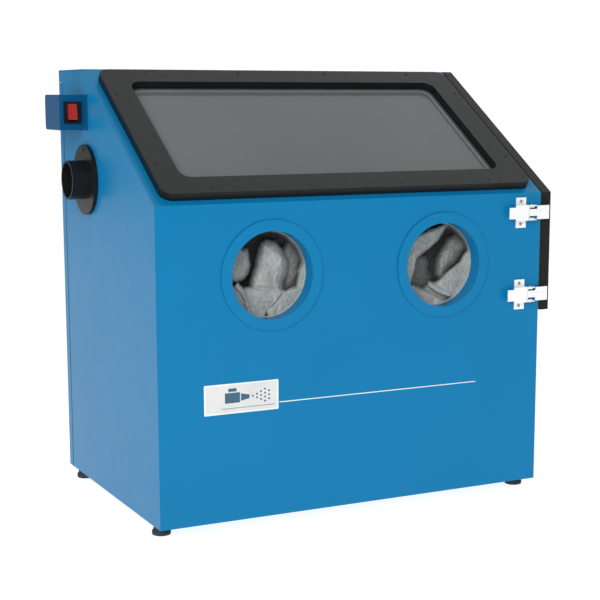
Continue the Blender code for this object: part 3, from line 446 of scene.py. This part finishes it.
def wall_screws():
    """Screws of the dust spigot, latches, hinges and rear cover."""
    ring = [at(-0.0057, 0.2745 + 0.0435 * math.sin(angle), 0.451 + 0.0435 * math.cos(angle))
            for angle in (0.0, 2 * math.pi / 3, 4 * math.pi / 3)]
    fasteners("spigot_screws", ring, (-1, 0, 0), 0.0030, 0.0014, cross, "black_rubber", "cabinet")
    for level, z in LATCH_Z.items():
        base = [at(0.5640, -0.0017, z + offset) for offset in (-0.0165, 0.0165)]
        fasteners(f"latch_{level}_screws", base, (0, -1, 0), 0.0026, 0.0012, cross, "bare_steel", "cabinet")
        rivet = [at(0.6108, 0.0001, z + 0.0125)]
        fasteners(f"door_{level}_rivet", rivet, (0, -1, 0), 0.0020, 0.0010, None, "black_plastic", "side_door")
        for end, direction in (("top", 1), ("bottom", -1)):
            pivot = [at(0.5805, -0.0060, z + direction * 0.0115)]
            fasteners(f"latch_{level}_pin_{end}", pivot, (0, 0, direction), 0.0024, 0.0010, None,
                      "bare_steel", f"{level}_lever")
    for level, z in HINGE_Z.items():
        wall = [at(0.6017, 0.3725, z + offset) for offset in (-0.019, 0.0, 0.019)]
        fasteners(f"hinge_{level}_wall_screws", wall, (1, 0, 0), 0.0031, 0.0010, cross, "bright_zinc", "cabinet")
        door = [at(0.6125, 0.3537, z + offset) for offset in (-0.021, 0.021)]
        fasteners(f"hinge_{level}_door_screws", door, (0, 1, 0), 0.0028, 0.0008, cross, "bright_zinc",
                  "side_door")
    back = [at(x, DEPTH - 0.0001, z) for x in (0.011, 0.589) for z in (0.045, 0.165, 0.285, 0.405, 0.525)]
    back += [at(x, DEPTH - 0.0001, 0.012) for x in (0.14, 0.30, 0.46)]
    fasteners("rear_cover_screws", back, (0, 1, 0), 0.0036, 0.0018, cross, "bright_zinc", "cabinet")


# ---- seams and the window's border ------------------------------------------------------------------------

def seam_shadow_strips():
    """A dark-blue strip along the joint between each side wall and the rear cover's flange: painted shadow of the
    seam's gap.
    """
    half, proud = 0.0012, 0.0004
    section = [(-half, 0.0), (-half * 0.6, proud * 0.8), (0.0, proud), (half * 0.6, proud * 0.8), (half, 0.0)]
    for side, wall, out in (("left", 0.0, -1.0), ("right", WIDTH, 1.0)):
        rows = [[at(wall + out * height, DEPTH - 0.0172 + across, z) for across, height in section]
                for z in (0.0005, 0.2, 0.4, 0.5895)]
        add(f"rear_seam_{side}", grid_mesh(f"rear_seam_{side}", rows, closed=False), "black_rubber", "cabinet",
            material=SEAM_SHADOW_PAINT)


def pane_border():
    """The faint frosted border that the glass shows inside the frame's opening."""
    low, high = (0.0512, 0.0457), (0.5488, 0.2798)
    wide = 0.009
    outer = rounded_box(low, high, 0.016)
    inner = rounded_box((low[0] + wide, low[1] + wide), (high[0] - wide, high[1] - wide), 0.010)
    rows = [[on_slope(x, up, out) for x, up in outline]
            for outline, out in ((outer, 0.0001), (outer, 0.0002), (inner, 0.0002), (inner, 0.0001))]
    add("pane_border", grid_mesh("pane_border", rows), "clear_glass", "cabinet", material=FROSTED)


# ---- label -----------------------------------------------------------------------------------------------

def sticker(name, outlines, out, material):
    """Flat printed shapes on the front wall, outlined across and up, standing out a little."""
    place = Matrix.Translation(at(0.0, -out, 0.0)) @ Matrix.Rotation(math.pi / 2, 4, "X")
    return add(name, assemble(name, [(slab(outline, 0.0002), place) for outline in outlines]), "white_plastic",
               "cabinet", material=material)


def disc(x, y, radius):
    """The outline of a dot."""
    return [(x + radius * math.cos(angle), y + radius * math.sin(angle))
            for angle in (2 * math.pi * step / 20 for step in range(20))]


def label():
    """A white plate with a plain picture of a blast nozzle and its spray, and the thin rule beside it."""
    left, low = 0.0648, 0.1494
    white = moulded("label_white", (0.86, 0.88, 0.88), 0.35, bump=0.05)
    field = moulded("label_field", (0.70, 0.71, 0.70), 0.40, bump=0.05)
    ink = moulded("label_ink", (0.035, 0.115, 0.185), 0.40, bump=0.05)
    sticker("label_plate", [rounded_box((left, low), (left + 0.1092, low + 0.0412), 0.0012)], 0.0, white)
    sticker("label_field", [rounded_box((left + 0.002, low + 0.002), (left + 0.1072, low + 0.0392), 0.0008)],
            0.00015, field)
    nozzle = [[(0.030, 0.0145), (0.052, 0.0145), (0.052, 0.0285), (0.030, 0.0285)],
              [(0.0535, 0.0165), (0.066, 0.0190), (0.066, 0.0240), (0.0535, 0.0265)],
              [(0.035, 0.0300), (0.047, 0.0300), (0.047, 0.0345), (0.035, 0.0345)],
              [(0.025, 0.0070), (0.104, 0.0070), (0.104, 0.0076), (0.025, 0.0076)]]
    spray = [(0.071, 0.0215), (0.077, 0.0240), (0.077, 0.0190), (0.083, 0.0215), (0.083, 0.0268),
             (0.083, 0.0162), (0.089, 0.0242), (0.089, 0.0188), (0.089, 0.0298), (0.089, 0.0132),
             (0.095, 0.0215), (0.095, 0.0270), (0.095, 0.0160)]
    shapes = [[(left + x, low + y) for x, y in outline] for outline in nozzle]
    shapes += [disc(left + x, low + y, 0.0014) for x, y in spray]
    sticker("label_picture", shapes, 0.0003, ink)
    sticker("label_rule", [[(0.1755, 0.1580), (0.4918, 0.1580), (0.4918, 0.1592), (0.1755, 0.1592)]], 0.0, white)


# ---- hoses -----------------------------------------------------------------------------------------------

GRATE_TOP = 0.2461


def smooth_route(points, spacing):
    """Points along the same smooth curve as the CAD hose takes, about one spacing apart."""
    points = [at(*point) for point in points]
    padded = [2 * points[0] - points[1]] + points + [2 * points[-1] - points[-2]]
    result = [points[0]]
    for index in range(1, len(padded) - 2):
        before, start, end, after = padded[index - 1:index + 3]
        steps = max(1, round((end - start).length / spacing))
        for step in range(1, steps + 1):
            t = step / steps
            result.append(0.5 * (2 * start + (end - before) * t
                                 + (2 * before - 5 * start + 4 * end - after) * t ** 2
                                 + (3 * start - before - 3 * end + after) * t ** 3))
    return result


def hose(node_name, points, radius, spacing):
    """A hose on the grate, in place of its CAD solid."""
    line = smooth_route(points, spacing)
    curve = bpy.data.curves.new(node_name, "CURVE")
    curve.dimensions = "3D"
    curve.bevel_depth = radius
    curve.bevel_resolution = 6
    curve.use_fill_caps = True
    spline = curve.splines.new("POLY")
    spline.points.add(len(line) - 1)
    for target, point in zip(spline.points, line):
        target.co = (*point, 1.0)
    item = add(f"{node_name}_tube", curve, "hose_rubber", "cabinet")
    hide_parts(node_name)


def hoses():
    """The air hose from the inlet to the gun's grip, and the media hose from the pickup tube to the gun."""
    low = GRATE_TOP + 0.006
    hose("air_hose", [(0.553, 0.380, 0.270), (0.553, 0.369, 0.270), (0.553, 0.345, 0.2660),
                      (0.553, 0.318, 0.2585), (0.551, 0.285, 0.2535), (0.546, 0.245, low),
                      (0.531, 0.212, low), (0.505, 0.193, low), (0.476, 0.194, low), (0.453, 0.213, low),
                      (0.442, 0.237, 0.2560), (0.440, 0.255, 0.264), (0.440, 0.2657, 0.264)], 0.005, 0.012)
    low = GRATE_TOP + 0.008
    start_x, start_y = 0.234822, 0.27465
    hose("media_hose", [(start_x, start_y - 0.0003, 0.268), (start_x, start_y - 0.012, 0.268),
                        (start_x, 0.243, 0.2635), (start_x + 0.006, 0.216, 0.2560),
                        (start_x + 0.026, 0.190, low), (start_x + 0.061, 0.176, low), (0.333, 0.177, low),
                        (0.362, 0.198, low), (0.380, 0.232, 0.2555), (0.385, 0.265, 0.2610),
                        (0.385, 0.293, 0.264), (0.385, 0.305, 0.264)], 0.007, 0.015)


# ---- feet ------------------------------------------------------------------------------------------------

def feet():
    """Rubber feet: a tapered body on a wider tread, screwed up from below."""
    profile = [(0.0001, -0.0120), (0.0032, -0.0120), (0.0036, -0.0150), (0.0108, -0.0150), (0.0126, -0.0143),
               (0.0130, -0.0110), (0.0126, -0.0086), (0.0112, -0.0074), (0.0098, -0.0020), (0.0100, -0.0002),
               (0.0001, -0.0001)]
    shape = lathe(profile, columns=40)
    for end, y in (("front", 0.034), ("rear", 0.366)):
        for side, x in (("left", 0.014), ("right", 0.586)):
            name = f"foot_{end}_{side}"
            item = add(f"{name}_rubber", assemble(name, [(shape, Matrix.Translation(at(x, y, 0.0)))]),
                       "black_rubber", "cabinet")
            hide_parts(name)


# ---- gloves ----------------------------------------------------------------------------------------------

PORT_Z = 0.333
PORT_X = {"left": 0.166, "right": 0.434}
PORT_RADIUS = 0.060
CUFF_RADIUS = 0.0655
LEAN_ACROSS = {"left": 0.465, "right": 0.620}
LEAN_DOWN = 0.138
MOUTH_CELLS = 84
BAG_DEPTH = 0.046
SETTLE_FRAMES = 16
SETTLE_CAP = 0.005
HOLD_LOOSE = 0.15
BEND = 0.02
GROWTH = 0.065
PIN = 1.0

# The folds of cloth that fill each port, in shares of the port's radius across and up. Each is an outline,
# the width of its rounded edge, and in metres how far its middle lies behind the collar and how far its edge
# falls away
FOLDS = {
    "left": [([(0.00, 0.84), (0.25, 0.77), (0.47, 0.54), (0.61, 0.27), (0.60, 0.00), (0.50, -0.25), (0.44, -0.55),
               (-0.56, -0.42), (-0.43, -0.28), (-0.38, -0.06), (-0.27, 0.21), (-0.18, 0.51), (-0.14, 0.76)],
              0.28, 0.006, 0.036),
             ([(0.58, 0.80), (0.97, 0.32), (0.85, -0.02), (0.74, -0.38), (0.44, -0.50), (0.44, 0.00), (0.44, 0.50)],
              0.24, 0.024, 0.012),
             ([(-1.2, 0.80), (-0.46, 0.60), (-0.40, 0.44), (-0.37, 0.21), (-0.42, 0.04), (-0.53, -0.10),
               (-0.70, -0.165), (-1.2, -0.20)], 0.14, 0.012, 0.024),
             ([(-0.80, -0.22), (-0.55, -0.29), (-0.09, -0.34), (0.50, -0.43), (0.23, -0.71), (0.05, -0.83),
               (-0.1, -1.3), (-1.2, -1.1)], 0.07, 0.006, 0.010),
             ([(0.47, -0.46), (0.64, -0.38), (0.74, -0.36), (0.79, -0.20), (0.83, 0.00), (0.90, 0.14), (0.97, 0.32),
               (1.3, 0.3), (1.1, -1.1), (0.0, -1.3), (0.03, -0.82), (0.20, -0.73)], 0.08, 0.003, 0.009)],
    "right": [([(0.33, 0.89), (0.08, 0.59), (-0.16, 0.37), (-0.31, 0.28), (-0.44, 0.20), (-0.52, 0.13),
                (-0.9, 0.1), (-0.9, 0.6), (-0.10, 0.87), (0.20, 0.94)], 0.12, 0.010, 0.016),
              ([(-0.50, 0.60), (-0.53, 0.19), (-0.58, -0.12), (-0.66, -0.41), (-0.75, -0.6), (-1.2, -0.6),
                (-1.2, 0.7)], 0.06, 0.002, 0.006),
              ([(0.58, 0.74), (0.86, 0.60), (0.96, 0.32), (0.84, 0.19), (0.67, -0.02), (0.46, -0.18),
                (0.25, -0.40), (0.08, -0.46), (-0.02, -0.30), (0.00, -0.10), (0.04, 0.12), (0.16, 0.36),
                (0.36, 0.62)], 0.30, 0.021, 0.021),
              ([(-1.1, 0.20), (-0.40, 0.26), (-0.28, 0.20), (-0.17, 0.00), (-0.19, -0.15), (-0.08, -0.35),
                (-0.14, -0.55), (-0.39, -0.68), (-0.70, -0.55), (-1.1, -0.5)], 0.20, 0.029, 0.012),
              ([(0.08, -0.44), (0.46, -0.18), (0.67, -0.02), (0.84, 0.19), (0.95, 0.27), (1.3, 0.25), (1.1, -1.2),
                (0.42, -1.2), (0.40, -0.78), (-0.13, -0.50)], 0.08, 0.006, 0.010),
              ([(-0.34, -0.60), (-0.13, -0.46), (0.45, -0.78), (0.40, -1.05), (0.0, -0.9)], 0.14, 0.014, 0.012),
              ([(-0.75, -0.45), (-0.62, -0.50), (-0.30, -0.64), (0.02, -0.76), (0.35, -0.98), (0.3, -1.3),
                (-1.2, -1.3), (-1.2, -0.5)], 0.06, 0.003, 0.008)]}

# The narrow ridges on them: both ends, the ridge's radius, how far behind the collar and how round
RIDGES = {"left": [((-0.70, -0.22), (-0.55, -0.42), 0.055, 0.001, 0.005),
                   ((-0.55, -0.42), (-0.36, -0.92), 0.055, 0.001, 0.005)],
          "right": [((-0.14, -0.50), (0.41, -0.79), 0.065, 0.000, 0.005)]}


def edge_distance(point, outline):
    """How far inside an outline a point lies, or a negative value outside it."""
    nearest, inside = math.inf, False
    for start, end in zip(outline, outline[1:] + outline[:1]):
        along = end - start
        share = min(1.0, max(0.0, (point - start).dot(along) / along.length_squared))
        nearest = min(nearest, (point - start - along * share).length)
        if (start.y > point.y) != (end.y > point.y):
            inside ^= point.x < start.x + (point.y - start.y) * along.x / along.y
    return nearest if inside else -nearest


def rounded(away):
    """The height that a round edge has lost, from 0 on its crown to 1 at its foot."""
    return 1.0 - math.sqrt(max(0.0, 1.0 - away * away))


def mouth_depth(across, up, side):
    """How far behind the collar the bunched cloth lies: a deep bag, with folds of cloth standing up in it."""
    from_centre = math.hypot(across, up)
    wander = noise.noise_vector(Vector((across * 2.4, up * 2.4, 5.0)))
    point = Vector((across + 0.035 * wander.x, up + 0.035 * wander.y))
    depth = BAG_DEPTH * max(0.0, 1.0 - from_centre ** 10) ** 0.5
    for outline, edge, crown, fall in FOLDS[side]:
        inside = edge_distance(point, [Vector(corner) for corner in outline])
        if inside > 0.0:
            depth = min(depth, crown + fall * rounded(max(0.0, 1.0 - inside / edge)))
    for start, end, radius, crown, fall in RIDGES[side]:
        along = Vector(end) - Vector(start)
        share = min(1.0, max(0.0, (point - Vector(start)).dot(along) / along.length_squared))
        away = (point - Vector(start) - along * share).length / radius
        if away < 1.0:
            depth = min(depth, crown + fall * rounded(away))
    seed = 3.0 if side == "left" else 9.0
    ripple = noise.fractal(Vector((across * 2.2, up * 2.2, seed)), 0.8, 2.0, 3)
    depth = max(0.001, depth + 0.0024 * ripple)
    return depth * min(1.0, (1.0 - from_centre) / 0.016)


def disc_point(column, row):
    """The point of a round grid, in shares of its radius, for a point of a square one."""
    x, y = 2.0 * column / MOUTH_CELLS - 1.0, 2.0 * row / MOUTH_CELLS - 1.0
    if x == 0.0 and y == 0.0:
        return 0.0, 0.0
    if abs(x) > abs(y):
        reach, angle = x, math.pi / 4 * y / x
    else:
        reach, angle = y, math.pi / 2 - math.pi / 4 * x / y
    return reach * math.cos(angle), reach * math.sin(angle)


def sleeve_mouth(name, side):
    """The bunched cloth that shows in a port, from the cuff on the collar inwards."""
    count = MOUTH_CELLS + 1
    points, faces = [], []
    for row in range(count):
        for column in range(count):
            across, up = disc_point(column, row)
            depth = mouth_depth(across, up, side)
            points.append(Vector((PORT_RADIUS * across + LEAN_ACROSS[side] * depth, COLLAR_END + depth,
                                  PORT_RADIUS * up - LEAN_DOWN * depth)))
    for row in range(MOUTH_CELLS):
        for column in range(MOUTH_CELLS):
            corner = row * count + column
            faces.append((corner, corner + 1, corner + count + 1, corner + count))
    last = MOUTH_CELLS
    rim = [column for column in range(last)] + [row * count + last for row in range(last)]
    rim += [last * count + last - column for column in range(last)] + [(last - row) * count for row in range(last)]
    held = [index for index in rim]
    for radius, depth in ((CUFF_RADIUS - 0.001, 0.0006), (CUFF_RADIUS, -0.001), (CUFF_RADIUS, -0.0139)):
        ring = []
        for index in rim:
            away = Vector((points[index].x, 0.0, points[index].z)).normalized() * radius
            ring.append(len(points))
            held.append(ring[-1])
            points.append(Vector((away.x, COLLAR_END + depth, away.z)))
        for index in range(len(rim)):
            after = (index + 1) % len(rim)
            faces.append((rim[after], rim[index], ring[index], ring[after]))
        rim = ring
    mesh = bpy.data.meshes.new(name)
    mesh.from_pydata(points, [], faces)
    return settled(mesh, held)


def settled(mesh, held):
    """The cloth let loose for a moment, held by its cuff and drawn to its folds, so that it wrinkles."""
    before = [point.co.copy() for point in mesh.vertices]
    item = bpy.data.objects.new(mesh.name, mesh)
    bpy.context.collection.objects.link(item)
    group = item.vertex_groups.new(name="held")
    group.add(range(len(mesh.vertices)), HOLD_LOOSE, "REPLACE")
    group.add(held, 1.0, "REPLACE")
    cloth = item.modifiers.new("cloth", "CLOTH")
    rules = cloth.settings
    rules.quality = 6
    rules.mass = 0.02
    rules.tension_stiffness = rules.compression_stiffness = 12.0
    rules.shear_stiffness = 4.0
    rules.bending_stiffness = BEND
    rules.air_damping = 2.0
    rules.shrink_min = rules.shrink_max = -GROWTH
    rules.vertex_group_mass = "held"
    rules.pin_stiffness = PIN
    rules.effector_weights.gravity = 0.1
    cloth.collision_settings.use_collision = False
    cloth.collision_settings.use_self_collision = False
    cloth.point_cache.frame_end = SETTLE_FRAMES
    for frame_number in range(1, SETTLE_FRAMES + 1):
        bpy.context.scene.frame_set(frame_number)
    calm = bpy.data.meshes.new_from_object(item.evaluated_get(bpy.context.evaluated_depsgraph_get()))
    bpy.context.scene.frame_set(1)
    bpy.data.objects.remove(item)
    moved = []
    for point, old in zip(calm.vertices, before):
        step = point.co - old
        moved.append(step.length)
        point.co = old + step * min(1.0, SETTLE_CAP / max(step.length, 1e-9))
    print("SETTLED", mesh.name, max(moved), sum(moved) / len(moved))
    return calm


def sleeve_back(name, side, seed):
    """The outside of a sleeve, from the cuff on the collar down to the wrist of its hand."""
    lean = LEAN_ACROSS[side]
    spine = [(0.0, 0.0085, 0.0, CUFF_RADIUS), (0.0, COLLAR_END, 0.0, CUFF_RADIUS),
             (lean * 0.014, 0.036, -0.002, 0.0665), (lean * 0.034, 0.056, -0.005, 0.0670),
             (lean * 0.048, 0.072, -0.009, 0.0655), (lean * 0.044, 0.084, -0.016, 0.0560),
             (lean * 0.026, 0.097, -0.027, 0.0420), (0.0, 0.108, -0.037, 0.0290)]
    rows = []
    for (x0, y0, z0, r0), (x1, y1, z1, r1) in zip(spine, spine[1:]):
        for step in range(5):
            share = step / 5
            centre = Vector((x0, y0, z0)).lerp(Vector((x1, y1, z1)), share)
            radius = r0 + (r1 - r0) * share
            line = []
            for column in range(64):
                angle = 2 * math.pi * column / 64
                point = centre + Vector((radius * math.cos(angle), 0.0, radius * math.sin(angle)))
                loose = min(1.0, max(0.0, (point.y - 0.030) / 0.030))
                fold = noise.fractal(point * 38.0 + Vector((seed, 0.0, 0.0)), 0.7, 2.1, 3)
                line.append(point + (point - centre).normalized() * 0.0042 * fold * loose)
            rows.append(line)
    return grid_mesh(name, rows)


def glove_hand(name, turn):
    """The loose hand at a sleeve's end: a palm, four curled fingers and a thumb, grown from their bones."""
    bones = [((0.0, 0.104, -0.036), 0.030), ((0.0, 0.124, -0.044), 0.027)]
    chains = [(0, 1)]
    for finger in range(4):
        x = -0.027 + 0.018 * finger
        curl = 0.002 * ((finger * 2 + 1) % 3)
        start = len(bones)
        bones += [((x, 0.137 - curl, -0.046), 0.0105), ((x * 1.08, 0.149 - curl, -0.058), 0.0090),
                  ((x * 1.10, 0.144 - curl, -0.072), 0.0085), ((x * 1.05, 0.130 - curl, -0.076), 0.0070)]
        chains += [(1, start), (start, start + 1), (start + 1, start + 2), (start + 2, start + 3)]
    start = len(bones)
    bones += [((turn * 0.030, 0.118, -0.052), 0.0110), ((turn * 0.034, 0.131, -0.066), 0.0085),
              ((turn * 0.026, 0.142, -0.073), 0.0070)]
    chains += [(1, start), (start, start + 1), (start + 1, start + 2)]
    mesh = bpy.data.meshes.new(name)
    mesh.from_pydata([place for place, radius in bones], chains, [])
    item = bpy.data.objects.new(name, mesh)
    bpy.context.collection.objects.link(item)
    item.modifiers.new("skin", "SKIN")
    for point, (place, radius) in zip(mesh.skin_vertices[0].data, bones):
        point.radius = (radius, radius)
    mesh.skin_vertices[0].data[0].use_root = True
    item.modifiers.new("round", "SUBSURF").levels = 2
    grown = bpy.data.meshes.new_from_object(item.evaluated_get(bpy.context.evaluated_depsgraph_get()))
    bpy.data.objects.remove(item)
    for point in grown.vertices:
        crease = noise.noise_vector(point.co * 60.0 + Vector((turn, 0.0, 0.0)))
        point.co += crease * 0.0016
    return grown


def gloves():
    """Both gloves: the bunched cloth that shows in its port, the back of its sleeve, and its hand."""
    for side, seed, turn in (("left", 3.0, 1.0), ("right", 11.0, -1.0)):
        shapes = {"hand": glove_hand(f"hand_{side}", turn), "mouth": sleeve_mouth(f"mouth_{side}", side),
                  "sleeve": sleeve_back(f"sleeve_{side}", side, seed)}
        for kind, mesh in shapes.items():
            mesh.transform(Matrix.Translation(at(PORT_X[side], 0.0, PORT_Z)))
            mesh.shade_smooth()
            item = add(f"glove_{kind}_{side}", mesh, "glove_fabric", "cabinet",
                       material=PAINTED_SHADE_COTTON if kind == "mouth" else None)
            smooth = item.modifiers.new("smooth", "SUBSURF")
            smooth.levels = smooth.render_levels = 1
            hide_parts(f"glove_{side}")


SOFT_EDGES = {"blue_sheet": 0.0006, "black_sheet": 0.0006, "black_plastic": 0.0009, "bright_zinc": 0.0003,
              "red_plastic": 0.0008, "white_plastic": 0.0004, "gun_metal": 0.0008}


FINE_EDGES = {"window_frame": 30}


def dress_nodes():
    """Every CAD node gets the finish of its own material slot, except the switch bracket and dust baffle, which get
    darker copies with painted shade, and most get softened edges.
    """
    slot_of = {}
    for part in frame["record"]["subparts"]:
        slot_of[part["node"]] = part["material_slot"]
    for name, item in NODES.items():
        item.data.materials.clear()
        item.data.materials.append(PAINTED_SHADE_FINISH.get(name) or MATERIALS[slot_of[name]])
        if slot_of[name] in SOFT_EDGES:
            edge = item.modifiers.new("soft_edge", "BEVEL")
            edge.width = SOFT_EDGES[slot_of[name]]
            edge.segments = 2
            edge.limit_method = "ANGLE"
            edge.angle_limit = math.radians(FINE_EDGES.get(name, 50))
            edge.harden_normals = True


camera()
lighting()
ground = bpy.data.meshes.new("floor")
ground.from_pydata([(-6, -6, 0), (6, -6, 0), (6, 6, 0), (-6, 6, 0)], [], [(0, 1, 2, 3)])
floor = bpy.data.objects.new("floor", ground)
floor.data.materials.append(studio_floor("studio_floor"))
bpy.context.collection.objects.link(floor)

dress_nodes()
hoses()
window_screws()
wall_screws()
seam_shadow_strips()
pane_border()
label()
feet()
gloves()
